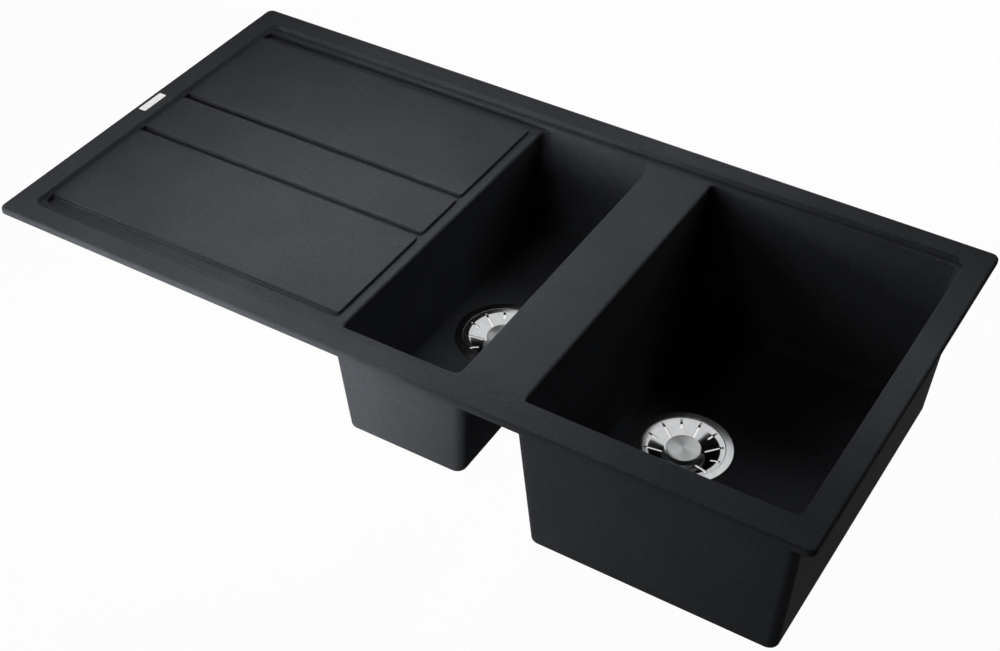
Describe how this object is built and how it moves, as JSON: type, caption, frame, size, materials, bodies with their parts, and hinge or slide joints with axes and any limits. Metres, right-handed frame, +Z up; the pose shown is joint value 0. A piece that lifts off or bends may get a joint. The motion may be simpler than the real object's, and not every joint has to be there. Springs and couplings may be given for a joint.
{
  "type": "kitchen sink",
  "caption": "Inset kitchen sink in dark composite with drainer, half bowl and main bowl, with basket strainer wastes whose plugs push down to close.",
  "frame": {"origin": "middle of the rim's outline, on the plane where the rim rests on the worktop", "axes": "+X along the length from the drainer to the main bowl, +Y to the back, +Z up"},
  "size_m": [1, 0.51, 0.2808],
  "materials": {
    "composite": "fine-grained matt black granite composite",
    "satin_steel": "satin",
    "polished_steel": "polished stainless steel",
    "brushed_steel": "brushed in rings",
    "black_rubber": "matt",
    "grey_plastic": "moulded, matt",
    "white_plastic": "moulded, smooth",
    "white_silicone": "moulded silicone, matt",
    "brass": "turned"
  },
  "bodies": {
    "sink": {"sink_body": "composite", "name_plate": "satin_steel", "half_waste_cup": "polished_steel", "half_flange_gasket": "black_rubber", "half_body_gasket": "black_rubber", "half_waste_body": "grey_plastic", "half_threaded_insert": "brass", "half_clamp_screw": "brushed_steel", "main_waste_cup": "polished_steel", "main_flange_gasket": "black_rubber", "main_body_gasket": "black_rubber", "main_waste_body": "grey_plastic", "main_threaded_insert": "brass", "main_clamp_screw": "brushed_steel"},
    "half_strainer": {"half_strainer_plate": "polished_steel", "half_stem_bush": "white_plastic"},
    "half_plug": {"half_plug_stem": "brushed_steel", "half_plug_disc": "white_plastic", "half_plug_seal": "white_silicone", "half_plug_knob": "brushed_steel"},
    "main_strainer": {"main_strainer_plate": "polished_steel", "main_stem_bush": "white_plastic"},
    "main_plug": {"main_plug_stem": "brushed_steel", "main_plug_disc": "white_plastic", "main_plug_seal": "white_silicone", "main_plug_knob": "brushed_steel"}
  },
  "joints": [
    {"name": "half_strainer_lift", "type": "slide", "parent": "sink", "child": "half_strainer", "axis": [0, 0, 1], "range_m": [0, 0.1]},
    {"name": "half_plug_slide", "type": "slide", "parent": "half_strainer", "child": "half_plug", "axis": [0, 0, 1], "range_m": [-0.005, 0]},
    {"name": "main_strainer_lift", "type": "slide", "parent": "sink", "child": "main_strainer", "axis": [0, 0, 1], "range_m": [0, 0.1]},
    {"name": "main_plug_slide", "type": "slide", "parent": "main_strainer", "child": "main_plug", "axis": [0, 0, 1], "range_m": [-0.005, 0]}
  ]
}
